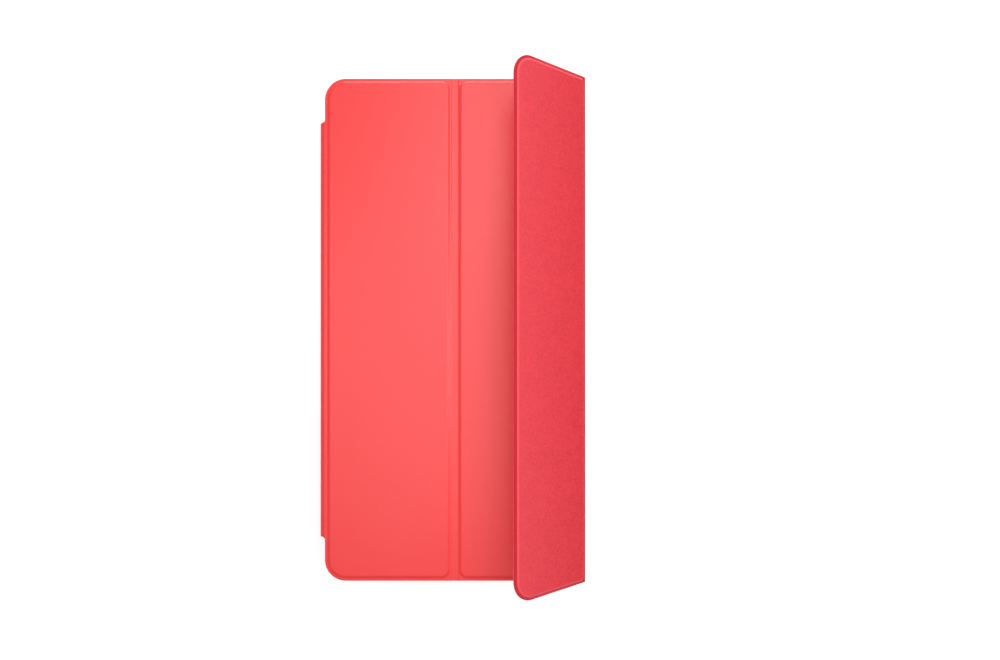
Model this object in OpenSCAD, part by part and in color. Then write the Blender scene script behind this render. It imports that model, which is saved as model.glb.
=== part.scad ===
// Folding magnetic front cover for a tablet: three stiff panels joined by living hinges,
// and a magnetic hinge strip that holds the cover on the tablet's side.
// The origin is the middle of the hinge strip's contact face. +X runs across the glass,
// +Y along the hinge and +Z out of the glass. Panels 1 and 2 lie flat, panel 3 is folded back.

/* [Cover] */
// Width of the cover across the glass when closed
cover_w = 169.5; // [168:0.5:172]
// Length of the cover along its hinge
cover_l = 240; // [236:1:244]
// Radius of the cover's four outer corners
corner_r = 10; // [8:0.5:12]
// Distance from the tablet's side to the middle of the first fold
fold_1_x = 62.2; // [61:0.1:64]
// Distance from the tablet's side to the middle of the second fold
fold_2_x = 124.2; // [122:0.1:126]
// Angle that panel 3 is folded back, from lying flat, shared by two bends
fold_2_angle = 140; // [130:1:150]
// Thickness of the tablet
tablet_t = 6.1; // [6:0.1:6.6]

/* [Layers] */
// Thickness of the polyurethane outer skin
skin_t = 0.55; // [0.5:0.05:0.6]
// Thickness of the microfibre lining
lining_t = 0.5; // [0.45:0.05:0.55]
// Thickness of the stiff board in each panel
board_t = 0.8; // [0.7:0.05:0.9]
// Thickness of each bonding film
film_t = 0.1; // [0.08:0.01:0.12]

/* [Raised pads] */
// Width of the thin rim around the cover's outline
rim_w = 1.3; // [1:0.1:2]
// Width of the slope from the rim up to the raised pad
bevel_w = 1.1; // [0.8:0.1:1.4]
// Radius of a pad's corners beside a fold
pad_fold_r = 3.9; // [2.5:0.1:5]
// Half the width of the flat groove at a fold
groove_half = 1.9; // [1.7:0.1:2.3]

/* [Folds] */
// Distance from the middle of a fold to each of the two lines along which its web bends
bend_x = 0.95; // [0.9:0.05:1.05]
// Half the width of the stretch of web between the bends
web_half = 0.6; // [0.4:0.05:0.65]
// Thickness of the outer skin across a fold
web_skin_t = 0.4; // [0.3:0.05:0.45]
// Thickness of the lining across a fold
web_lining_t = 0.35; // [0.3:0.05:0.4]

/* [Hinge strip] */
// Length of the hinge strip and its web
hinge_l = 198; // [190:1:204]
// Height of the hinge strip
strip_h = 4.6; // [4.2:0.1:5]
// Thickness of the hinge strip
strip_t = 1.75; // [1.7:0.05:1.8]
// Thickness of the strip's polyurethane sleeve
sleeve_t = 0.35; // [0.3:0.05:0.4]
// Thickness of the soft contact strip on the tablet's side
contact_t = 0.3; // [0.25:0.05:0.35]
// Thickness of the steel plate behind the magnets
shunt_t = 0.3; // [0.25:0.05:0.35]
// Height of the steel plate
shunt_h = 3; // [2.6:0.1:3.2]
// Half the thickness of the web that joins strip and panel 1
hinge_web_half = 0.275; // [0.25:0.025:0.3]
// Gap between the strip and that web
hinge_gap = 0.15; // [0.12:0.01:0.2]

/* [Magnets] */
// Magnets in each half of the hinge strip
hinge_magnets = 6; // [4:1:7]
// Length of a hinge magnet
hinge_magnet_l = 7; // [5:0.5:8]
// Distance between hinge magnets
hinge_magnet_pitch = 9; // [8.5:0.5:10]
// Height of a hinge magnet
hinge_magnet_h = 2.6; // [2:0.1:2.8]
// Distance from the middle of the strip to its first magnet
hinge_magnet_start = 40; // [30:1:42]
// Magnets in each half of the free edge
edge_magnets = 3; // [2:1:4]
// Length of a free-edge magnet
edge_magnet_l = 12; // [8:1:16]
// Width of a free-edge magnet
edge_magnet_w = 3.2; // [2.5:0.1:4]
// Distance between free-edge magnets
edge_magnet_pitch = 26; // [20:1:28]
// Distance from the free edge to the middle of its magnets
edge_magnet_inset = 8; // [7:0.5:10]
// Side of the square magnet that wakes the tablet
wake_magnet_w = 5; // [4:0.5:6]
// Distance from the middle of the free edge to the wake magnet
wake_magnet_y = 100; // [96:1:104]
// Width of the steel latch plate in panel 1
latch_w = 4; // [3:0.5:5]
// Length of the steel latch plate in panel 1
latch_l = 172; // [150:1:190]
// Distance from the tablet's side to the middle of the latch plate
latch_x = 8; // [7:0.5:10]

/* [Hidden] */
$fn = 64;

skin_color = [0.98, 0.39, 0.39];
lining_color = [0.9, 0.27, 0.32];
film_color = [0.93, 0.91, 0.86];
board_color = [0.78, 0.76, 0.62];
core_color = [0.3, 0.3, 0.32];
steel_color = [0.66, 0.67, 0.69];
magnet_color = [0.75, 0.75, 0.78];

// Smallest clearance between two pieces that share a body
fit = 0.05;
// Heights above the middle plane of a panel
board_half = board_t / 2;
film_top = board_half + film_t;
pad_top = film_top + skin_t;
pad_bottom = film_top + lining_t;
// How far the stiff board stays inside the foot of its pad
board_inset = 0.75 * bevel_w;
// Middle plane of the closed cover, with its lining on the glass
mid_z = tablet_t / 2 + pad_bottom;
// The web between strip and panel 1 stands in this plane
hinge_web_x = -strip_t - hinge_gap - hinge_web_half;
// Tongue of panel 1 that reaches over the hinge strip
tongue_gap = 0.175;
tongue_x = hinge_web_x + hinge_web_half + tongue_gap;
flare_r = 1.8;
// Fin on the sleeve that the web is bonded to
fin_half = 0.2;
web_foot_z = 0.35;
// Limits of each panel along X
panel_1_x = [0, fold_1_x - groove_half];
panel_2_x = [fold_1_x + groove_half, fold_2_x - groove_half];
panel_3_x = [fold_2_x + groove_half, cover_w];

// Rectangle between two X limits, with its own radius on the left and the right corners
module plate_outline(x, l, left_r, right_r) {
    for (end = [-1, 1]) {
        translate([x[0] + left_r, end * (l / 2 - left_r)])
            circle(r = left_r);
        translate([x[1] - right_r, end * (l / 2 - right_r)])
            circle(r = right_r);
    }
    translate([x[0] + left_r, -l / 2])
        square([x[1] - x[0] - left_r - right_r, l]);
    translate([x[0], -l / 2 + left_r])
        square([left_r, l - 2 * left_r]);
    translate([x[1] - right_r, -l / 2 + right_r])
        square([right_r, l - 2 * right_r]);
}

// Flat rim of a panel, square where its corner radius is zero
module rim_outline(x, left_r, right_r) {
    difference() {
        translate([x[0], -cover_l / 2])
            square([x[1] - x[0], cover_l]);
        for (end = [-1, 1]) {
            if (left_r > 0)
                translate([x[0], end * cover_l / 2])
                    scale([1, -end])
                        corner_cut(left_r);
            if (right_r > 0)
                translate([x[1], end * cover_l / 2])
                    scale([-1, -end])
                        corner_cut(right_r);
        }
    }
}

// What a rounded corner takes off a square one, in the quadrant of +X and +Y
module corner_cut(r) {
    difference() {
        translate([-1, -1])
            square(r + 1);
        translate([r, r])
            circle(r = r);
    }
}

// The tongue of panel 1 over the strip, flared at both ends
module tongue_outline() {
    root = 1;
    translate([tongue_x, -hinge_l / 2])
        square([root - tongue_x, hinge_l]);
    for (end = [-1, 1])
        difference() {
            translate([tongue_x, end * (hinge_l + flare_r) / 2 - flare_r / 2])
                square([root - tongue_x, flare_r]);
            translate([tongue_x, end * (hinge_l / 2 + flare_r)])
                circle(r = flare_r);
        }
}

// Limits of a pad's foot, or of what is inside it, shrunk by inset
function pad_x(x, left_rim, right_rim, inset) = [x[0] + left_rim + inset, x[1] - right_rim - inset];

// Raised pad from the rim's surface up to its own, with sloping sides
module pad(x, left_rim, right_rim, left_r, right_r, low, high) {
    skirt = 0.2;
    hull() {
        translate([0, 0, low - skirt])
            linear_extrude(skirt)
                plate_outline(pad_x(x, left_rim, right_rim, 0), cover_l - 2 * rim_w,
                              left_r, right_r, $fn = 32);
        translate([0, 0, high - 0.01])
            linear_extrude(0.01)
                plate_outline(pad_x(x, left_rim, right_rim, bevel_w), cover_l - 2 * (rim_w + bevel_w),
                              left_r - bevel_w, right_r - bevel_w, $fn = 32);
    }
}

// A layer inside a pad
module inner_layer(x, left_rim, right_rim, left_r, right_r, low, high, gap) {
    inset = board_inset - gap;
    translate([0, 0, low])
        linear_extrude(high - low)
            plate_outline(pad_x(x, left_rim, right_rim, inset), cover_l - 2 * (rim_w + inset),
                          left_r - inset, right_r - inset);
}

// One side of a panel: the rim, the pad, and the room for the board under it
module panel_side(x, left_rim, right_rim, left_r, right_r, rim_t, top, tongue) {
    difference() {
        union() {
            linear_extrude(rim_t) {
                rim_outline(x, left_rim > 0 ? corner_r : 0, right_rim > 0 ? corner_r : 0);
                if (tongue)
                    tongue_outline();
            }
            pad(x, left_rim, right_rim, left_r, right_r, rim_t, top);
        }
        inner_layer(x, left_rim, right_rim, left_r, right_r, -skin_t, film_top, fit);
    }
}

// The three panels differ only in their limits, rims and corners
module panel_1_side(rim_t, top) {
    panel_side(panel_1_x, rim_w, 0, corner_r - rim_w, pad_fold_r, rim_t, top, true);
}

module panel_2_side(rim_t, top) {
    panel_side(panel_2_x, 0, 0, pad_fold_r, pad_fold_r, rim_t, top, false);
}

module panel_3_side(rim_t, top) {
    panel_side(panel_3_x, 0, rim_w, pad_fold_r, corner_r - rim_w, rim_t, top, false);
}

module panel_1_layer(low, high) {
    inner_layer(panel_1_x, rim_w, 0, corner_r - rim_w, pad_fold_r, low, high, 0);
}

module panel_2_layer(low, high) {
    inner_layer(panel_2_x, 0, 0, pad_fold_r, pad_fold_r, low, high, 0);
}

module panel_3_layer(low, high) {
    inner_layer(panel_3_x, 0, rim_w, pad_fold_r, corner_r - rim_w, low, high, 0);
}

// Places of panels: 1 and 2 lie on the glass, 3 is turned at both bends of the second fold
module on_glass() {
    translate([0, 0, mid_z])
        children();
}

module turned_at(x, angle) {
    translate([x, 0, mid_z])
        rotate([0, -angle, 0])
            translate([-x, 0, -mid_z])
                children();
}

module half_folded() {
    turned_at(fold_2_x - bend_x, fold_2_angle / 2)
        children();
}

module folded_back() {
    half_folded()
        turned_at(fold_2_x + bend_x, fold_2_angle / 2)
            on_glass()
                children();
}

// Stretch of web in the middle of a fold, between two heights over the middle plane
module fold_web(fold_x, low, high) {
    on_glass()
        translate([fold_x - web_half, -cover_l / 2, low])
            cube([2 * web_half, cover_l, high - low]);
}

// ---- Hinge strip ----

module hinge_sleeve() {
    color(skin_color)
        difference() {
            union() {
                translate([-strip_t, -hinge_l / 2, -strip_h / 2])
                    cube([strip_t, hinge_l, strip_h]);
                translate([hinge_web_x - 0.1, -hinge_l / 2, -fin_half])
                    cube([-hinge_web_x, hinge_l, 2 * fin_half]);
            }
            translate([-strip_t + sleeve_t, -hinge_l / 2 + sleeve_t, -strip_h / 2 + sleeve_t])
                cube([strip_t, hinge_l - 2 * sleeve_t, strip_h - 2 * sleeve_t]);
        }
}

module hinge_core() {
    back = -strip_t + sleeve_t;
    length = hinge_l - 2 * sleeve_t - 2 * fit;
    height = strip_h - 2 * sleeve_t - 2 * fit;
    color(core_color)
        difference() {
            translate([back, -length / 2, -height / 2])
                cube([-contact_t - back, length, height]);
            translate([back - 1, -length / 2 + 1, -shunt_h / 2 - fit])
                cube([shunt_t + 1, length - 2, shunt_h + 2 * fit]);
            for (side = [-1, 1])
                magnet_row(side, fit, 1);
        }
}

// Magnets of one half of the strip, grown by gap for their pockets
module magnet_row(side, gap, extra) {
    back = -strip_t + sleeve_t + shunt_t;
    for (i = [0 : hinge_magnets - 1])
        translate([back, side * (hinge_magnet_start + i * hinge_magnet_pitch) - hinge_magnet_l / 2 - gap,
                   -hinge_magnet_h / 2 - gap])
            cube([-contact_t - back + extra, hinge_magnet_l + 2 * gap, hinge_magnet_h + 2 * gap]);
}

module hinge_shunt_plate() {
    length = hinge_l - 2 * sleeve_t - 2 - 4 * fit;
    color(steel_color)
        translate([-strip_t + sleeve_t, -length / 2, -shunt_h / 2])
            cube([shunt_t, length, shunt_h]);
}

module hinge_magnets_upper() {
    color(magnet_color)
        magnet_row(1, 0, 0);
}

module hinge_magnets_lower() {
    color(magnet_color)
        magnet_row(-1, 0, 0);
}

module hinge_contact_strip() {
    length = hinge_l - 2 * sleeve_t - 2 * fit;
    height = strip_h - 2 * sleeve_t - 2 * fit;
    color(lining_color)
        translate([-contact_t, -length / 2, -height / 2])
            cube([contact_t, length, height]);
}

// ---- Web from the strip up to panel 1 ----

// Half of the web: a strip with a round top about its upper axis
module hinge_web_half_solid(side) {
    intersection() {
        union() {
            translate([hinge_web_x - hinge_web_half, -hinge_l / 2, web_foot_z])
                cube([2 * hinge_web_half, hinge_l, mid_z - web_foot_z]);
            translate([hinge_web_x, 0, mid_z])
                rotate([90, 0, 0])
                    cylinder(h = hinge_l, r = hinge_web_half, center = true);
        }
        translate([hinge_web_x + (side < 0 ? -1 : 0), -hinge_l / 2, 0])
            cube([1, hinge_l, mid_z + 1]);
    }
}

module hinge_web_skin() {
    color(skin_color)
        hinge_web_half_solid(-1);
}

module hinge_web_lining() {
    color(lining_color)
        hinge_web_half_solid(1);
}

// ---- Panel 1 ----

module panel_1_skin() {
    color(skin_color)
        on_glass()
            panel_1_side(skin_t, pad_top);
}

module panel_1_upper_film() {
    color(film_color)
        on_glass()
            panel_1_layer(board_half, film_top);
}

module panel_1_board() {
    color(board_color)
        on_glass()
            difference() {
                panel_1_layer(-board_half, board_half);
                translate([latch_x - latch_w / 2 - fit, -latch_l / 2 - fit, -board_t])
                    cube([latch_w + 2 * fit, latch_l + 2 * fit, 2 * board_t]);
            }
}

module panel_1_latch_plate() {
    color(steel_color)
        on_glass()
            translate([latch_x - latch_w / 2, -latch_l / 2, -board_half])
                cube([latch_w, latch_l, board_t]);
}

module panel_1_lower_film() {
    color(film_color)
        on_glass()
            panel_1_layer(-film_top, -board_half);
}

module panel_1_lining() {
    color(lining_color)
        on_glass()
            mirror([0, 0, 1])
                panel_1_side(lining_t, pad_bottom);
}

// ---- First fold ----

module fold_1_web_skin() {
    color(skin_color)
        fold_web(fold_1_x, 0, web_skin_t);
}

module fold_1_web_lining() {
    color(lining_color)
        fold_web(fold_1_x, -web_lining_t, 0);
}

// ---- Panel 2 ----

module panel_2_skin() {
    color(skin_color)
        on_glass()
            panel_2_side(skin_t, pad_top);
}

module panel_2_upper_film() {
    color(film_color)
        on_glass()
            panel_2_layer(board_half, film_top);
}

module panel_2_board() {
    color(board_color)
        on_glass()
            panel_2_layer(-board_half, board_half);
}

module panel_2_lower_film() {
    color(film_color)
        on_glass()
            panel_2_layer(-film_top, -board_half);
}

module panel_2_lining() {
    color(lining_color)
        on_glass()
            mirror([0, 0, 1])
                panel_2_side(lining_t, pad_bottom);
}

// ---- Second fold ----

module fold_2_web_skin() {
    color(skin_color)
        half_folded()
            fold_web(fold_2_x, 0, web_skin_t);
}

module fold_2_web_lining() {
    color(lining_color)
        half_folded()
            fold_web(fold_2_x, -web_lining_t, 0);
}

// ---- Panel 3 ----

// Magnets along the free edge, grown by gap for their pockets
module edge_magnet_row(gap, low, high) {
    for (side = [-1, 1])
        for (i = [0 : edge_magnets - 1])
            translate([cover_w - edge_magnet_inset - edge_magnet_w / 2 - gap,
                       side * (i + 0.5) * edge_magnet_pitch - edge_magnet_l / 2 - gap, low])
                cube([edge_magnet_w + 2 * gap, edge_magnet_l + 2 * gap, high - low]);
}

module wake_magnet_block(gap, low, high) {
    translate([cover_w - edge_magnet_inset - wake_magnet_w / 2 - gap,
               wake_magnet_y - wake_magnet_w / 2 - gap, low])
        cube([wake_magnet_w + 2 * gap, wake_magnet_w + 2 * gap, high - low]);
}

module panel_3_skin() {
    color(skin_color)
        folded_back()
            panel_3_side(skin_t, pad_top);
}

module panel_3_upper_film() {
    color(film_color)
        folded_back()
            panel_3_layer(board_half, film_top);
}

module panel_3_board() {
    color(board_color)
        folded_back()
            difference() {
                panel_3_layer(-board_half, board_half);
                edge_magnet_row(fit, -board_t, board_t);
                wake_magnet_block(fit, -board_t, board_t);
            }
}

module panel_3_edge_magnets() {
    color(magnet_color)
        folded_back()
            edge_magnet_row(0, -board_half, board_half);
}

module panel_3_wake_magnet() {
    color(magnet_color)
        folded_back()
            wake_magnet_block(0, -board_half, board_half);
}

module panel_3_lower_film() {
    color(film_color)
        folded_back()
            panel_3_layer(-film_top, -board_half);
}

module panel_3_lining() {
    color(lining_color)
        folded_back()
            mirror([0, 0, 1])
                panel_3_side(lining_t, pad_bottom);
}

hinge_sleeve();
hinge_core();
hinge_shunt_plate();
hinge_magnets_upper();
hinge_magnets_lower();
hinge_contact_strip();
hinge_web_skin();
hinge_web_lining();
panel_1_skin();
panel_1_upper_film();
panel_1_board();
panel_1_latch_plate();
panel_1_lower_film();
panel_1_lining();
fold_1_web_skin();
fold_1_web_lining();
panel_2_skin();
panel_2_upper_film();
panel_2_board();
panel_2_lower_film();
panel_2_lining();
fold_2_web_skin();
fold_2_web_lining();
panel_3_skin();
panel_3_upper_film();
panel_3_board();
panel_3_edge_magnets();
panel_3_wake_magnet();
panel_3_lower_film();
panel_3_lining();
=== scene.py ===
import math

import bmesh
import bpy
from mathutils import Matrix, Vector


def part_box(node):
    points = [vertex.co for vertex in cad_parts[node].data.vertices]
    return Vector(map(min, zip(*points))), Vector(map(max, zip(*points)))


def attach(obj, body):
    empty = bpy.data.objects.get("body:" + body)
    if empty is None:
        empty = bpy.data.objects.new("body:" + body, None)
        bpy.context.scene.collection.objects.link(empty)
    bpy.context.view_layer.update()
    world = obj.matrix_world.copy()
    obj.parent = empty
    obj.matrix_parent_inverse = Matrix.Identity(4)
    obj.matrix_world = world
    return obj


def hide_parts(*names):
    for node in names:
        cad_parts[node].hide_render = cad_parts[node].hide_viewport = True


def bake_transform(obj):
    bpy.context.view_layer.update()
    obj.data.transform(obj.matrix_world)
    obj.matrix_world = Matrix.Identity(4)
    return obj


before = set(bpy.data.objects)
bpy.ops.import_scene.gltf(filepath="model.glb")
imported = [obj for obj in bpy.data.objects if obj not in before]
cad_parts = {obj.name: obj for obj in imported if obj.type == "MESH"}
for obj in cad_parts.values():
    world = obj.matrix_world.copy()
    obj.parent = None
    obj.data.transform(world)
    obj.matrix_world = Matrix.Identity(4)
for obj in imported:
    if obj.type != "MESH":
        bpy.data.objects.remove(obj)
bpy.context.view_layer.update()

# ---------------------------------------------------------------------------
# Sizes, in metres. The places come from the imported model.
# ---------------------------------------------------------------------------
MM = 0.001

skin_low, skin_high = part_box("panel_1_skin")
panel_2_low, panel_2_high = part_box("panel_2_skin")
strip_low, strip_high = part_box("hinge_sleeve")

MIDDLE_Z = skin_low.z                 # plane in which the outer skin and the lining are bonded
HALF_LENGTH = skin_high.y             # half the length of the cover
PANEL_1_END = skin_high.x             # panel 1 ends and the first groove begins
PANEL_2_START = panel_2_low.x
PANEL_2_END = panel_2_high.x
FOLD_1 = (PANEL_1_END + PANEL_2_START) / 2
GROOVE = PANEL_2_START - FOLD_1       # half the width of a groove
FOLD_2 = PANEL_2_END + GROOVE
PANEL_3_START = FOLD_2 + GROOVE
COVER_WIDTH = 169.5 * MM

CORNER = 10 * MM                      # outer corners of the cover
RIM = 1.3 * MM                        # thin rim round the raised pads
SLOPE = 1.05 * MM                     # slope from the rim up to a pad
LINING_SLOPE = 0.8 * MM               # the same on the lining
PAD_CORNER = 3.9 * MM                 # corners of a pad beside a fold
LINING_PAD_CORNER = 1.6 * MM          # the same on the lining
GROOVE_GAP = 0.45 * MM                # how much earlier panel 1's pad ends at the groove
EDGE_ROUND = 0.24 * MM                # rounding of the free edges
PAD_ROUND = 0.42 * MM                 # rounding along the top of a pad
FOOT_ROUND = 0.22 * MM                # hollow at the foot of a pad's slope
ROOM_GAP = 0.05 * MM                  # gap round board and film
BOARD_ROOM = 0.5 * MM                 # half the height of the room for board and film
SKIN_EDGE, SKIN_TOP = 0.55 * MM, 1.05 * MM
LINING_EDGE, LINING_TOP = 0.5 * MM, 1.0 * MM
WEB_SKIN, WEB_LINING = 0.4 * MM, 0.35 * MM
COLUMN_EDGE = 0.02 * MM               # first column of a groove, just inside its side
THIN_RUN = 0.45 * MM                  # stretch in which a layer gets thinner in a groove

WEB_X = -2.175 * MM                   # plane of the web that stands beside the hinge strip
HINGE_HALF = strip_high.y             # half the length of the hinge strip
TONGUE = 5.12 * MM                    # flat length of the tongue that is rolled over the strip
FLARE = 1.4 * MM                      # hollow corners at the root of the tongue
WEB_THINNING = 0.47                   # share of its thickness that the tongue loses
THINNING_RUN = 2.6 * MM               # stretch of the tongue over which it gets thinner
WEB_BULGE = 0.33 * MM                 # how far the web bulges out
BULGE_RUN = 4.1 * MM                  # stretch of the tongue that bulges

BEND = 0.95 * MM                      # from the middle of a fold to each of its two bends
BEND_HALF = 0.5 * MM                  # half the stretch of web that takes one bend
BEND_ANGLE = math.radians(70)         # each bend of the second fold, as the cover lies

SLEEVE_BACK = -1.75 * MM              # the sleeve's side towards the web
SLEEVE_WALL = 0.35 * MM
FIN_HALF = 0.16 * MM                  # half the height of the fin that holds the web
BEAD_RADIUS = 0.29 * MM               # the bead in which the foot of the web is bonded

FLOOR_Z = -36 * MM                    # the floor, clear of the cover when it opens downwards


# ---------------------------------------------------------------------------
# Bench work: small helpers round Blender's own modelling operators
# ---------------------------------------------------------------------------
def clear_selection():
    if bpy.context.object is not None and bpy.context.object.mode != "OBJECT":
        bpy.ops.object.mode_set(mode="OBJECT")
    bpy.ops.object.select_all(action="DESELECT")


def take(piece):
    """Make piece the only selected object."""
    clear_selection()
    piece.select_set(True)
    bpy.context.view_layer.objects.active = piece


def block(name, low, high):
    """A block between two corners, to be shaped further."""
    clear_selection()
    middle = [(a + b) / 2 for a, b in zip(low, high)]
    size = [abs(b - a) for a, b in zip(low, high)]
    bpy.ops.mesh.primitive_cube_add(size=1, location=middle)
    piece = bpy.context.object
    piece.name = name
    piece.data.name = name
    piece.scale = size
    bpy.ops.object.transform_apply(location=True, rotation=True, scale=True)
    return piece


def pick(piece, kind, wanted):
    """Go into edit mode on piece with only the wanted vertices, edges or faces selected."""
    take(piece)
    bpy.ops.object.mode_set(mode="EDIT")
    bpy.ops.mesh.select_mode(type=kind)
    bpy.ops.mesh.select_all(action="DESELECT")
    shape = bmesh.from_edit_mesh(piece.data)
    items = {"VERT": shape.verts, "EDGE": shape.edges, "FACE": shape.faces}[kind]
    for item in items:
        if wanted(item):
            item.select_set(True)
    bmesh.update_edit_mesh(piece.data)


def round_picked(radius, segments, clamp=False):
    """Round the picked edges."""
    bpy.ops.mesh.bevel(offset=radius, segments=segments, profile=0.5, affect="EDGES",
                       clamp_overlap=clamp)


def close_up(piece):
    bpy.ops.object.mode_set(mode="OBJECT")
    return piece


def middle_of(edge):
    return (edge.verts[0].co + edge.verts[1].co) / 2


def upright(edge):
    way = (edge.verts[1].co - edge.verts[0].co).normalized()
    return abs(way.z) > 0.999


def near(a, b, slack=0.01 * MM):
    return abs(a - b) < slack


def round_uprights(piece, x, radius, segments, y=None):
    """Round the upright edges that stand at x."""
    pick(piece, "EDGE", lambda e: upright(e) and near(middle_of(e).x, x)
         and (y is None or near(abs(middle_of(e).y), y)))
    round_picked(radius, segments)
    return close_up(piece)


def combine(piece, other, how):
    """Add other to piece, or cut it out of piece."""
    take(piece)
    joiner = piece.modifiers.new("joiner", "BOOLEAN")
    joiner.operation = how
    joiner.solver = "EXACT"
    joiner.object = other
    bpy.ops.object.modifier_apply(modifier=joiner.name)
    bpy.data.objects.remove(other)
    return piece


def rows_across(piece, places):
    """Cut piece into columns at these places along X, so that it can bend there."""
    for x in places:
        pick(piece, "FACE", lambda f: True)
        bpy.ops.mesh.bisect(plane_co=(x, 0, 0), plane_no=(1, 0, 0), threshold=1e-7)
        close_up(piece)
    return piece


def trimmed(piece, name, x, keep):
    """A copy of piece that ends at x, closed with a flat face. keep is below or above."""
    copy = piece.copy()
    copy.data = piece.data.copy()
    copy.name = name
    copy.data.name = name
    bpy.context.scene.collection.objects.link(copy)
    pick(copy, "FACE", lambda f: True)
    bpy.ops.mesh.bisect(plane_co=(x, 0, 0), plane_no=(1, 0, 0), threshold=1e-7, use_fill=True,
                        clear_outer=keep == "below", clear_inner=keep == "above")
    return close_up(copy)


def steps(a, b, count):
    return [a + (b - a) * i / count for i in range(count + 1)]


# ---------------------------------------------------------------------------
# One side of a panel: rim, raised pad and the room for the board
# ---------------------------------------------------------------------------
def panel_side(name, up, x, pad_x, corners, pad_corners, edge, top, slope, board, tongue=False):
    """up is 1 for the outer skin and -1 for the lining. x and pad_x are limits along X, and
    board is the limits of the board along X and half its length."""

    def level(height):
        return MIDDLE_Z + up * height

    # The thin plate, with the cover's round outer corners
    plate = block(name, (x[0], -HALF_LENGTH, level(0)), (x[1], HALF_LENGTH, level(edge)))
    if tongue:
        for y in (-HINGE_HALF, HINGE_HALF):
            pick(plate, "FACE", lambda f: True)
            bpy.ops.mesh.bisect(plane_co=(0, y, 0), plane_no=(0, 1, 0), threshold=1e-7)
            close_up(plate)
        pick(plate, "FACE", lambda f: f.normal.x < -0.9 and abs(f.calc_center_median().y) < 50 * MM)
        bpy.ops.mesh.extrude_region_move(TRANSFORM_OT_translate={"value": (-TONGUE, 0, 0)})
        close_up(plate)
    if corners[0]:
        round_uprights(plate, x[0], corners[0], 14, HALF_LENGTH)
    if corners[1]:
        round_uprights(plate, x[1], corners[1], 14, HALF_LENGTH)
    if tongue:
        round_uprights(plate, x[0], FLARE, 8, HINGE_HALF)

    # Free edges are softly rounded, the sides that go on into a fold aren't
    def free_edge(e):
        if len(e.link_faces) != 2:
            return False
        flat = [f for f in e.link_faces if f.normal.z * up > 0.9]
        wall = [f for f in e.link_faces if abs(f.normal.z) < 0.1]
        if len(flat) != 1 or len(wall) != 1:
            return False
        m = middle_of(e)
        at_fold = (not corners[1] and near(m.x, x[1])) or (not corners[0] and near(m.x, x[0]))
        return not at_fold and m.x > -TONGUE + 0.05 * MM

    pick(plate, "EDGE", free_edge)
    round_picked(EDGE_ROUND, 4)
    close_up(plate)

    # The raised pad: a block, its corners rounded, its face inset and lifted
    half = HALF_LENGTH - RIM
    pad = block("pad", (pad_x[0], -half, level(0.3 * edge)), (pad_x[1], half, level(edge)))
    round_uprights(pad, pad_x[0], pad_corners[0], 12)
    round_uprights(pad, pad_x[1], pad_corners[1], 12)
    pick(pad, "FACE", lambda f: f.normal.z * up > 0.9)
    bpy.ops.mesh.inset(thickness=slope, depth=top - edge)
    close_up(pad)
    pick(pad, "EDGE", lambda e: all(near(v.co.z, level(top)) for v in e.verts))
    round_picked(PAD_ROUND, 5)
    close_up(pad)
    combine(plate, pad, "UNION")

    # The inner corner at the foot of the slope is softened
    def foot(e):
        if len(e.link_faces) != 2:
            return False
        if not all(near(v.co.z, level(edge)) for v in e.verts):
            return False
        tilt = sorted(f.normal.z * up for f in e.link_faces)
        return tilt[1] > 0.99 and 0.5 < tilt[0] < 0.97

    pick(plate, "EDGE", foot)
    round_picked(FOOT_ROUND, 3, clamp=True)
    close_up(plate)

    # Room for board and film, open towards the other side
    left, right, long = board[0] - ROOM_GAP, board[1] + ROOM_GAP, board[2] + ROOM_GAP
    room = block("room", (left, -long, level(-edge)), (right, long, level(BOARD_ROOM + ROOM_GAP)))
    round_uprights(room, left, max(pad_corners[0] - 0.8 * MM, 3.0 * MM), 6)
    round_uprights(room, right, max(pad_corners[1] - 0.8 * MM, 3.0 * MM), 6)
    combine(plate, room, "DIFFERENCE")
    return plate


def thin_at_fold(piece, up, fold, edge, web):
    """The layer is pressed thinner in the bottom of the groove."""
    for v in piece.data.vertices:
        away = abs(v.co.x - fold)
        if away > GROOVE - COLUMN_EDGE:
            continue
        share = soft_step((GROOVE - COLUMN_EDGE - away) / THIN_RUN)
        height = (v.co.z - MIDDLE_Z) * up
        v.co.z = MIDDLE_Z + up * height * (1 + (web / edge - 1) * share)


# ---------------------------------------------------------------------------
# Shaping across the hinges
# ---------------------------------------------------------------------------
def soft_step(t):
    t = min(max(t, 0), 1)
    return t * t * (3 - 2 * t)


def turned(x, z, about, angle):
    dx, dz = x - about[0], z - about[1]
    c, s = math.cos(angle), math.sin(angle)
    return about[0] + dx * c - dz * s, about[1] + dx * s + dz * c


def bent(x, z, about, angle, reach):
    """Where a point of the flat cover lies when it is bent about a line, softly over reach."""
    way = (math.cos(angle / 2), math.sin(angle / 2))

    def share_at(px, pz):
        along = (px - about[0]) * way[0] + (pz - about[1]) * way[1]
        return soft_step((along + reach) / (2 * reach))

    low, high = 0.0, 1.0
    for _ in range(40):
        share = (low + high) / 2
        if share_at(*turned(x, z, about, share * angle)) > share:
            low = share
        else:
            high = share
    return turned(x, z, about, (low + high) / 2 * angle)


NEAR_BEND = (FOLD_2 - BEND, MIDDLE_Z)
FAR_BEND = (FOLD_2 + BEND, MIDDLE_Z)


def bend_near(piece):
    for v in piece.data.vertices:
        v.co.x, v.co.z = bent(v.co.x, v.co.z, NEAR_BEND, BEND_ANGLE, BEND_HALF)


def bend_far(piece):
    for v in piece.data.vertices:
        x, z = bent(v.co.x, v.co.z, FAR_BEND, BEND_ANGLE, BEND_HALF)
        v.co.x, v.co.z = turned(x, z, NEAR_BEND, BEND_ANGLE)


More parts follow.
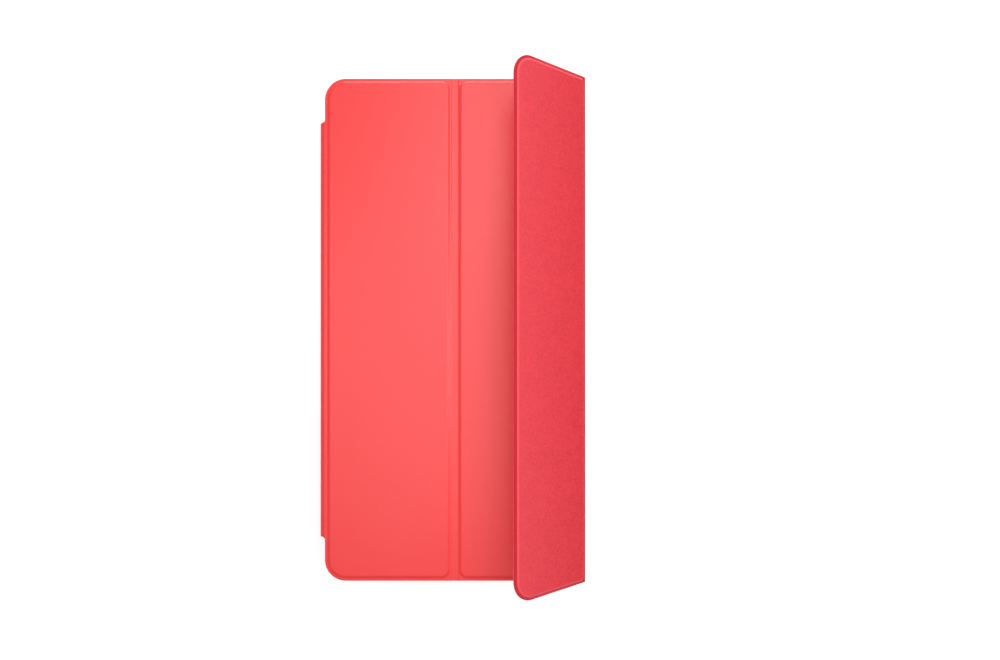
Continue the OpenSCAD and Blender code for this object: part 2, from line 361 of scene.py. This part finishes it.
def roll_over_strip(piece):
    """The tongue goes over the strip's edge in a quarter round and down beside it. It gets thinner
    and bulges a little, as a bonded web does."""
    radius = -WEB_X
    arc = radius * math.pi / 2
    for v in piece.data.vertices:
        run = -v.co.x
        if run <= 0:
            continue
        height = (v.co.z - MIDDLE_Z) * (1 - WEB_THINNING * soft_step(run / THINNING_RUN))
        turn = min(run, arc) / radius
        bulge = WEB_BULGE * math.sin(math.pi * min(run / BULGE_RUN, 1)) ** 2
        v.co.x = -(radius + height) * math.sin(turn) - bulge
        v.co.z = MIDDLE_Z - radius + (radius + height) * math.cos(turn) - max(run - arc, 0)


# ---------------------------------------------------------------------------
# Finishing
# ---------------------------------------------------------------------------
def mark_pressed(piece, up, edge, top):
    """Before the piece is bent, write how far each point is up the pad's slope, how near it is to
    a fold, for the painted shade beside it, and how far it is towards the free edge, for the painted
    light there."""
    raised = piece.data.attributes.new("raised", "FLOAT", "POINT")
    painted_fold_shade = piece.data.attributes.new("painted_fold_shade", "FLOAT", "POINT")
    painted_free_edge_light = piece.data.attributes.new("painted_free_edge_light", "FLOAT", "POINT")
    for v in piece.data.vertices:
        height = (v.co.z - MIDDLE_Z) * up
        fold = min(abs(v.co.x - FOLD_1), abs(v.co.x - FOLD_2))
        in_groove = soft_step((GROOVE + 0.3 * MM - fold) / (0.6 * MM))
        raised.data[v.index].value = max(min(max((height - edge) / (top - edge), 0), 1), in_groove)
        # painted shade beside a fold
        painted_fold_shade.data[v.index].value = soft_step((GROOVE + 1.5 * MM - fold) / (1.6 * MM))
        # painted light, lighter towards the free edge
        painted_free_edge_light.data[v.index].value = min(max((v.co.x - FOLD_2) / (COVER_WIDTH - FOLD_2), 0), 1)


def smooth_over(piece, angle=32):
    take(piece)
    bpy.ops.object.shade_smooth_by_angle(angle=math.radians(angle))
    even = piece.modifiers.new("even", "WEIGHTED_NORMAL")
    even.keep_sharp = True
    even.weight = 90
    bpy.ops.object.modifier_apply(modifier=even.name)


def finish_piece(piece, material):
    piece.data.materials.clear()
    piece.data.materials.append(material)


# ---------------------------------------------------------------------------
# Node groups that several finishes share
# ---------------------------------------------------------------------------
def new_group(name, inputs, outputs):
    group = bpy.data.node_groups.new(name, "ShaderNodeTree")
    for label, kind, value in inputs:
        socket = group.interface.new_socket(label, in_out="INPUT", socket_type=kind)
        socket.default_value = value
    for label, kind in outputs:
        group.interface.new_socket(label, in_out="OUTPUT", socket_type=kind)
    return group, group.nodes.new("NodeGroupInput"), group.nodes.new("NodeGroupOutput")


def math_node(tree, how, a, b=None):
    node = tree.nodes.new("ShaderNodeMath")
    node.operation = how
    for socket, value in zip(node.inputs, (a, b)):
        if value is None:
            continue
        if isinstance(value, (int, float)):
            socket.default_value = value
        else:
            tree.links.new(value, socket)
    return node.outputs[0]


def noise_node(tree, scale, detail=3, rough=0.5):
    place = tree.nodes.new("ShaderNodeTexCoord")
    node = tree.nodes.new("ShaderNodeTexNoise")
    tree.links.new(place.outputs["Object"], node.inputs["Vector"])
    if isinstance(scale, (int, float)):
        node.inputs["Scale"].default_value = scale
    else:
        tree.links.new(scale, node.inputs["Scale"])
    node.inputs["Detail"].default_value = detail
    node.inputs["Roughness"].default_value = rough
    return node.outputs["Fac"]


def make_colour_drift():
    """A colour that is a little lighter and darker from place to place."""
    group, given, out = new_group(
        "colour drift",
        [("Colour", "NodeSocketColor", (0.8, 0.8, 0.8, 1)), ("Scale", "NodeSocketFloat", 60),
         ("Amount", "NodeSocketFloat", 0.1)],
        [("Colour", "NodeSocketColor")])
    wide = noise_node(group, given.outputs["Scale"], 4, 0.55)
    centred = math_node(group, "SUBTRACT", wide, 0.5)
    swing = math_node(group, "MULTIPLY", centred, given.outputs["Amount"])
    value = math_node(group, "ADD", swing, 1.0)
    tone = group.nodes.new("ShaderNodeHueSaturation")
    group.links.new(given.outputs["Colour"], tone.inputs["Color"])
    group.links.new(value, tone.inputs["Value"])
    group.links.new(tone.outputs["Color"], out.inputs["Colour"])
    return group


def make_fine_grain():
    """Tiny pebbles with soft edges, as pressed into a thin plastic or a coated cloth."""
    group, given, out = new_group(
        "fine grain",
        [("Scale", "NodeSocketFloat", 2200), ("Unevenness", "NodeSocketFloat", 0.4)],
        [("Height", "NodeSocketFloat"), ("Mask", "NodeSocketFloat")])
    place = group.nodes.new("ShaderNodeTexCoord")
    cells = group.nodes.new("ShaderNodeTexVoronoi")
    cells.feature = "SMOOTH_F1"
    group.links.new(place.outputs["Object"], cells.inputs["Vector"])
    group.links.new(given.outputs["Scale"], cells.inputs["Scale"])
    half = math_node(group, "MULTIPLY", given.outputs["Scale"], 0.35)
    uneven = math_node(group, "MULTIPLY", noise_node(group, half, 2), given.outputs["Unevenness"])
    height = math_node(group, "SUBTRACT", uneven, cells.outputs["Distance"])
    group.links.new(height, out.inputs["Height"])
    group.links.new(cells.outputs["Distance"], out.inputs["Mask"])
    return group


def make_brushed_nap():
    """Short brushed fibres: blotches where the nap lies over, and a fine fibrous speckle."""
    group, given, out = new_group(
        "brushed nap",
        [("Blotch Scale", "NodeSocketFloat", 260), ("Fibre Scale", "NodeSocketFloat", 2600)],
        [("Shade", "NodeSocketFloat"), ("Height", "NodeSocketFloat")])
    blotch = noise_node(group, given.outputs["Blotch Scale"], 5, 0.62)
    fibre = noise_node(group, given.outputs["Fibre Scale"], 3, 0.7)
    middle = math_node(group, "MULTIPLY", given.outputs["Fibre Scale"], 0.36)
    tuft = noise_node(group, middle, 3, 0.6)
    shade = math_node(group, "ADD", math_node(group, "MULTIPLY", blotch, 0.22),
                      math_node(group, "MULTIPLY", tuft, 0.46))
    shade = math_node(group, "ADD", shade, math_node(group, "MULTIPLY", fibre, 0.32))
    height = math_node(group, "ADD", math_node(group, "MULTIPLY", tuft, 0.6),
                       math_node(group, "MULTIPLY", fibre, 0.4))
    group.links.new(shade, out.inputs["Shade"])
    group.links.new(height, out.inputs["Height"])
    return group


def make_brushed_lines():
    """Long fine lines, as rolling or grinding leaves on metal."""
    group, given, out = new_group(
        "rolled lines",
        [("Scale", "NodeSocketFloat", 900)],
        [("Lines", "NodeSocketFloat")])
    place = group.nodes.new("ShaderNodeTexCoord")
    stretch = group.nodes.new("ShaderNodeMapping")
    stretch.inputs["Scale"].default_value = (1, 0.04, 1)
    lines = group.nodes.new("ShaderNodeTexNoise")
    group.links.new(place.outputs["Object"], stretch.inputs["Vector"])
    group.links.new(stretch.outputs["Vector"], lines.inputs["Vector"])
    group.links.new(given.outputs["Scale"], lines.inputs["Scale"])
    lines.inputs["Detail"].default_value = 3
    group.links.new(lines.outputs["Fac"], out.inputs["Lines"])
    return group


COLOUR_DRIFT = make_colour_drift()
FINE_GRAIN = make_fine_grain()
BRUSHED_NAP = make_brushed_nap()
ROLLED_LINES = make_brushed_lines()


def place_group(tree, group, **values):
    node = tree.nodes.new("ShaderNodeGroup")
    node.node_tree = group
    for label, value in values.items():
        node.inputs[label.replace("_", " ")].default_value = value
    return node


def new_finish(name, rough, **constants):
    material = bpy.data.materials.new(name)
    material.use_nodes = True
    shader = material.node_tree.nodes["Principled BSDF"]
    shader.inputs["Roughness"].default_value = rough
    for label, value in constants.items():
        shader.inputs[label.replace("_", " ")].default_value = value
    return material, material.node_tree, shader


def bump_node(tree, height, strength, distance):
    node = tree.nodes.new("ShaderNodeBump")
    node.inputs["Strength"].default_value = strength
    node.inputs["Distance"].default_value = distance
    tree.links.new(height, node.inputs["Height"])
    return node.outputs["Normal"]


def spread(tree, value, low, high):
    """Map 0..1 to low..high."""
    node = tree.nodes.new("ShaderNodeMapRange")
    tree.links.new(value, node.inputs["Value"])
    node.inputs["To Min"].default_value = low
    node.inputs["To Max"].default_value = high
    return node.outputs["Result"]


def mixed(tree, share, a, b):
    node = tree.nodes.new("ShaderNodeMix")
    node.data_type = "RGBA"
    tree.links.new(share, node.inputs["Factor"])
    for label, value in (("A", a), ("B", b)):
        socket = [s for s in node.inputs if s.name == label and s.type == "RGBA"][0]
        if isinstance(value, tuple):
            socket.default_value = value
        else:
            tree.links.new(value, socket)
    return [s for s in node.outputs if s.type == "RGBA"][0]


CORAL = (0.91, 0.030, 0.031, 1)
# painted shade for the hollows of the grain
CORAL_PAINTED_HOLLOW_SHADE = (0.82, 0.010, 0.013, 1)
NAP_LIGHT = (0.84, 0.046, 0.064, 1)
NAP_DARK = (0.60, 0.018, 0.032, 1)
# painted shade beside a fold
NAP_PAINTED_FOLD_SHADE = (0.36, 0.010, 0.018, 1)
NAP_PRESSED = (0.60, 0.014, 0.028, 1)
# painted light: the lighter nap of the slopes' painted highlight and of the free edge
NAP_PAINTED_LIGHT = (0.95, 0.13, 0.16, 1)


def make_coral_polyurethane():
    material, tree, shader = new_finish("coral polyurethane", 0.39, Specular_IOR_Level=0.8,
                                        Sheen_Weight=0.12, Sheen_Roughness=0.5)
    drift = place_group(tree, COLOUR_DRIFT, Colour=CORAL, Scale=45, Amount=0.05)
    grain = place_group(tree, FINE_GRAIN, Scale=2600, Unevenness=0.5)
    # painted shade: the hollows between the pebbles are painted a touch deeper in colour
    hollow = spread(tree, grain.outputs["Mask"], 0.0, 0.22)
    colour = mixed(tree, hollow, drift.outputs["Colour"], CORAL_PAINTED_HOLLOW_SHADE)
    tree.links.new(colour, shader.inputs["Base Color"])
    rough = spread(tree, noise_node(tree, 180, 4), 0.35, 0.45)
    tree.links.new(rough, shader.inputs["Roughness"])
    tree.links.new(bump_node(tree, grain.outputs["Height"], 0.22, 0.00006), shader.inputs["Normal"])
    return material


def make_coral_microfibre():
    material, tree, shader = new_finish("coral microfibre", 0.9, Specular_IOR_Level=0.2,
                                        Sheen_Weight=0.35, Sheen_Roughness=0.45,
                                        Sheen_Tint=(1.0, 0.45, 0.45, 1))
    nap = place_group(tree, BRUSHED_NAP, Blotch_Scale=240, Fibre_Scale=2600)
    brushed = mixed(tree, spread(tree, nap.outputs["Shade"], -0.9, 1.9), NAP_DARK, NAP_LIGHT)
    drift = place_group(tree, COLOUR_DRIFT, Scale=70, Amount=0.12)
    tree.links.new(brushed, drift.inputs["Colour"])
    # the rim is pressed smooth, which makes it deeper in colour
    raised = tree.nodes.new("ShaderNodeAttribute")
    raised.attribute_name = "raised"
    share = spread(tree, raised.outputs["Fac"], 0.0, 1.0)
    share = math_node(tree, "SMOOTH_MIN", math_node(tree, "MULTIPLY", share, 1.6), 1.0)
    colour = mixed(tree, share, NAP_PRESSED, drift.outputs["Colour"])
    # painted highlight: the nap on the slopes is painted lighter, but not beside a fold
    painted_fold_shade = tree.nodes.new("ShaderNodeAttribute")
    painted_fold_shade.attribute_name = "painted_fold_shade"
    level = raised.outputs["Fac"]
    slope = math_node(tree, "MULTIPLY", level, math_node(tree, "SUBTRACT", 1.0, level))
    away_from_painted_fold_shade = math_node(tree, "SUBTRACT", 1.0, painted_fold_shade.outputs["Fac"])
    slope = math_node(tree, "MULTIPLY", slope, away_from_painted_fold_shade)
    colour = mixed(tree, math_node(tree, "MULTIPLY", slope, 2.6), colour, NAP_PAINTED_LIGHT)
    # painted light: the nap is painted lighter towards the free edge
    painted_free_edge_light = tree.nodes.new("ShaderNodeAttribute")
    painted_free_edge_light.attribute_name = "painted_free_edge_light"
    painted_free_edge_share = math_node(tree, "MULTIPLY", painted_free_edge_light.outputs["Fac"], share)
    colour = mixed(tree, math_node(tree, "MULTIPLY", painted_free_edge_share, 0.30), colour, NAP_PAINTED_LIGHT)
    # painted shade: the nap beside a fold is painted darker
    painted_fold_shade_share = math_node(tree, "MULTIPLY", painted_fold_shade.outputs["Fac"], 0.6)
    colour = mixed(tree, painted_fold_shade_share, colour, NAP_PAINTED_FOLD_SHADE)
    tree.links.new(colour, shader.inputs["Base Color"])
    tree.links.new(spread(tree, share, 0.5, 0.92), shader.inputs["Roughness"])
    height = math_node(tree, "MULTIPLY", nap.outputs["Height"], share)
    tree.links.new(bump_node(tree, height, 0.55, 0.00022), shader.inputs["Normal"])
    return material


def make_plain_finish(name, colour, rough, metal, drift_amount, bump, scale, lines=False):
    material, tree, shader = new_finish(name, rough, Metallic=metal)
    drift = place_group(tree, COLOUR_DRIFT, Colour=colour, Scale=150, Amount=drift_amount)
    tree.links.new(drift.outputs["Colour"], shader.inputs["Base Color"])
    if lines:
        made = place_group(tree, ROLLED_LINES, Scale=scale).outputs["Lines"]
    else:
        made = place_group(tree, FINE_GRAIN, Scale=scale, Unevenness=0.5).outputs["Height"]
    tree.links.new(spread(tree, noise_node(tree, 500, 3), rough - 0.06, rough + 0.08),
                   shader.inputs["Roughness"])
    tree.links.new(bump_node(tree, made, bump, 0.00004), shader.inputs["Normal"])
    return material


coral_polyurethane = make_coral_polyurethane()
coral_microfibre = make_coral_microfibre()
bonding_film = make_plain_finish("bonding film", (0.82, 0.78, 0.68, 1), 0.35, 0, 0.08, 0.1, 900)
glass_fibre = make_plain_finish("glass-fibre board", (0.56, 0.54, 0.34, 1), 0.42, 0, 0.25, 0.35,
                                700, lines=True)
moulded_carrier = make_plain_finish("moulded carrier", (0.055, 0.057, 0.062, 1), 0.5, 0, 0.1, 0.2,
                                    1500)
rolled_steel = make_plain_finish("rolled steel", (0.52, 0.53, 0.55, 1), 0.36, 1, 0.12, 0.25,
                                 1200, lines=True)
nickel_plate = make_plain_finish("nickel-plated magnet", (0.68, 0.66, 0.62, 1), 0.22, 1, 0.06, 0.08,
                                 1800)

# ---------------------------------------------------------------------------
# The cover's two faces, each in three panels with the folds between them
# ---------------------------------------------------------------------------
def board_limits(panel):
    """Where a panel's board lies in the flat cover."""
    if panel == 3:
        return PANEL_3_START + 0.825 * MM, COVER_WIDTH - RIM - 0.825 * MM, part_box("panel_3_board")[1].y
    low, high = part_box(f"panel_{panel}_board")
    return low.x, high.x, high.y


def make_face(side, up, edge, top, slope, pad_corner, web, material, layer):
    """All panels and folds of the outer skin (up 1) or of the lining (up -1)."""
    fold_columns = steps(-BEND - BEND_HALF - 0.1 * MM, -BEND + BEND_HALF + 0.1 * MM, 12)
    thin_columns = [-GROOVE + x for x in (COLUMN_EDGE, 0.13 * MM, 0.24 * MM, 0.36 * MM)]

    # Panel 1 with its tongue, and the left half of the first fold
    panel_1 = panel_side("panel_1", up, (0, FOLD_1), (RIM, PANEL_1_END - GROOVE_GAP), (CORNER, 0),
                         (CORNER - RIM, pad_corner), edge, top, slope, board_limits(1), tongue=True)
    rows_across(panel_1, [-TONGUE + i * 0.26 * MM for i in range(1, 21)])
    rows_across(panel_1, [FOLD_1 + x for x in thin_columns + fold_columns])
    mark_pressed(panel_1, up, edge, top)
    thin_at_fold(panel_1, up, FOLD_1, edge, web)
    first = trimmed(panel_1, f"panel_1_{side}", PANEL_1_END, "below")
    fold_1 = trimmed(panel_1, f"fold_1_{side}", PANEL_1_END, "above")
    bpy.data.objects.remove(panel_1)
    roll_over_strip(first)

    # Panel 2 with the right half of the first fold, and the left half of the second
    panel_2 = panel_side("panel_2", up, (FOLD_1, FOLD_2), (PANEL_2_START, PANEL_2_END), (0, 0),
                         (pad_corner, pad_corner), edge, top, slope, board_limits(2))
    rows_across(panel_2, [FOLD_1 - x for x in thin_columns + fold_columns])
    rows_across(panel_2, [FOLD_2 + x for x in thin_columns + fold_columns])
    mark_pressed(panel_2, up, edge, top)
    thin_at_fold(panel_2, up, FOLD_1, edge, web)
    thin_at_fold(panel_2, up, FOLD_2, edge, web)
    second = trimmed(panel_2, f"panel_2_{side}", PANEL_2_END, "below")
    fold_2 = trimmed(panel_2, f"fold_2_{side}", PANEL_2_END, "above")
    bpy.data.objects.remove(panel_2)
    bend_near(fold_2)

    # Panel 3 with the right half of the second fold
    third = panel_side(f"panel_3_{side}", up, (FOLD_2, COVER_WIDTH),
                       (PANEL_3_START, COVER_WIDTH - RIM), (0, CORNER),
                       (pad_corner, CORNER - RIM), edge, top, slope, board_limits(3))
    rows_across(third, [FOLD_2 - x for x in thin_columns + fold_columns])
    mark_pressed(third, up, edge, top)
    thin_at_fold(third, up, FOLD_2, edge, web)
    bend_far(third)

    for piece in (first, fold_1, second, fold_2, third):
        smooth_over(piece)
        finish_piece(piece, material)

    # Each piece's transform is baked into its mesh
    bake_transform(first)
    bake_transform(fold_1)
    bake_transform(second)
    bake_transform(fold_2)
    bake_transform(third)

    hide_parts(f"panel_1_{layer}", f"hinge_web_{layer}")
    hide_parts(f"fold_1_web_{layer}")
    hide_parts(f"panel_2_{layer}")
    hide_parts(f"fold_2_web_{layer}")
    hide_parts(f"panel_3_{layer}")


make_face("outer", 1, SKIN_EDGE, SKIN_TOP, SLOPE, PAD_CORNER, WEB_SKIN,
          coral_polyurethane, "skin")
make_face("inner", -1, LINING_EDGE, LINING_TOP, LINING_SLOPE, LINING_PAD_CORNER, WEB_LINING,
          coral_microfibre, "lining")


# ---------------------------------------------------------------------------
# The hinge strip: sleeve with a hollow for the carrier, and the rolled bead that holds the web
# ---------------------------------------------------------------------------
def make_sleeve():
    sleeve = block("strip_sleeve", (SLEEVE_BACK, -HINGE_HALF, strip_low.z),
                   (0, HINGE_HALF, strip_high.z))
    pick(sleeve, "EDGE", lambda e: middle_of(e).x < -0.1 * MM)
    round_picked(0.3 * MM, 4)
    close_up(sleeve)
    # a fin runs out to the bead in which the foot of the web is bonded
    fin = block("fin", (WEB_X, -HINGE_HALF + 0.3 * MM, -FIN_HALF),
                (-1.6 * MM, HINGE_HALF - 0.3 * MM, FIN_HALF))
    combine(sleeve, fin, "UNION")
    clear_selection()
    bpy.ops.mesh.primitive_cylinder_add(vertices=20, radius=BEAD_RADIUS, depth=2 * HINGE_HALF,
                                        location=(WEB_X, 0, 0), rotation=(math.radians(90), 0, 0))
    bead = bpy.context.object
    bpy.ops.object.transform_apply(location=True, rotation=True, scale=True)
    pick(bead, "EDGE", lambda e: near(abs(middle_of(e).y), HINGE_HALF))
    bpy.ops.mesh.bevel(offset=0.14 * MM, segments=3, affect="EDGES", clamp_overlap=False)
    close_up(bead)
    combine(sleeve, bead, "UNION")
    wall = SLEEVE_WALL
    hollow = block("hollow", (SLEEVE_BACK + wall, -HINGE_HALF + wall, strip_low.z + wall),
                   (1 * MM, HINGE_HALF - wall, strip_high.z - wall))
    combine(sleeve, hollow, "DIFFERENCE")
    smooth_over(sleeve)
    finish_piece(sleeve, coral_polyurethane)
    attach(sleeve, "hinge_strip")
    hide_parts("hinge_sleeve")


def make_contact_strip():
    low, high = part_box("hinge_contact_strip")
    strip = block("contact_strip", low, high)
    pick(strip, "EDGE", lambda e: abs(middle_of(e).x - high.x) < 0.001 * MM)
    round_picked(0.12 * MM, 3)
    close_up(strip)
    mark = strip.data.attributes.new("raised", "FLOAT", "POINT")
    for v in strip.data.vertices:
        mark.data[v.index].value = 1
    smooth_over(strip)
    finish_piece(strip, coral_microfibre)
    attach(strip, "hinge_strip")
    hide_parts("hinge_contact_strip")


make_sleeve()
make_contact_strip()

# ---------------------------------------------------------------------------
# Finishes of what lies inside
# ---------------------------------------------------------------------------
inside = {"film": bonding_film, "board": glass_fibre, "core": moulded_carrier, "plate": rolled_steel,
          "magnet": nickel_plate, "magnets": nickel_plate, "upper": nickel_plate, "lower": nickel_plate}
for name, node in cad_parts.items():
    if node.hide_render:
        continue
    ending = name.rsplit("_", 1)[-1]
    node.data.materials.clear()
    node.data.materials.append(inside.get(ending, coral_polyurethane))

# ---------------------------------------------------------------------------
# Floor, light and camera
# ---------------------------------------------------------------------------
clear_selection()
bpy.ops.mesh.primitive_plane_add(size=6, location=(0.08, 0, FLOOR_Z))
floor = bpy.context.object
floor.name = "floor"
paper = bpy.data.materials.new("pale floor")
paper.use_nodes = True
for label, value in (("Base Color", (1, 1, 1, 1)), ("Roughness", 0.85),
                     ("Emission Color", (1, 1, 1, 1)), ("Emission Strength", 0.35)):
    paper.node_tree.nodes["Principled BSDF"].inputs[label].default_value = value
floor.data.materials.append(paper)


def soft_box(name, place, aim, size, power):
    light = bpy.data.lights.new(name, "AREA")
    light.shape = "RECTANGLE"
    light.size, light.size_y = size
    light.energy = power
    lamp = bpy.data.objects.new(name, light)
    bpy.context.scene.collection.objects.link(lamp)
    lamp.location = place
    lamp.rotation_euler = (Vector(aim) - Vector(place)).to_track_quat("-Z", "Y").to_euler()
    lamp.visible_camera = False


soft_box("key softbox", (0.16, 0.42, 0.75), (0.07, 0, 0), (0.42, 0.42), 1.4)
soft_box("overhead softbox", (0.04, -0.01, 0.42), (0.06, 0, 0), (0.42, 0.45), 0.85)
soft_box("top strip light", (0.06, 0.75, 0.20), (0.06, 0.1, 0), (0.5, 0.10), 1.9)
soft_box("right strip light", (0.45, 0.0, 0.62), (0.06, 0, 0), (0.05, 0.34), 1.25)
sky = bpy.data.worlds.new("studio")
sky.use_nodes = True
sky.node_tree.nodes["Background"].inputs["Color"].default_value = (1, 1, 1, 1)
sky.node_tree.nodes["Background"].inputs["Strength"].default_value = 0.31
bpy.context.scene.world = sky
bpy.context.scene.view_settings.view_transform = "Standard"

camera_data = bpy.data.cameras.new("camera")
camera_data.sensor_width = 36
camera_data.lens = 23.17
camera_data.shift_x = -0.005
camera_data.shift_y = 0.023
camera_data.clip_start = 0.01
camera = bpy.data.objects.new("camera", camera_data)
bpy.context.scene.collection.objects.link(camera)
camera.location = (86.1 * MM, -11.1 * MM, 312.1 * MM)
bpy.context.scene.camera = camera
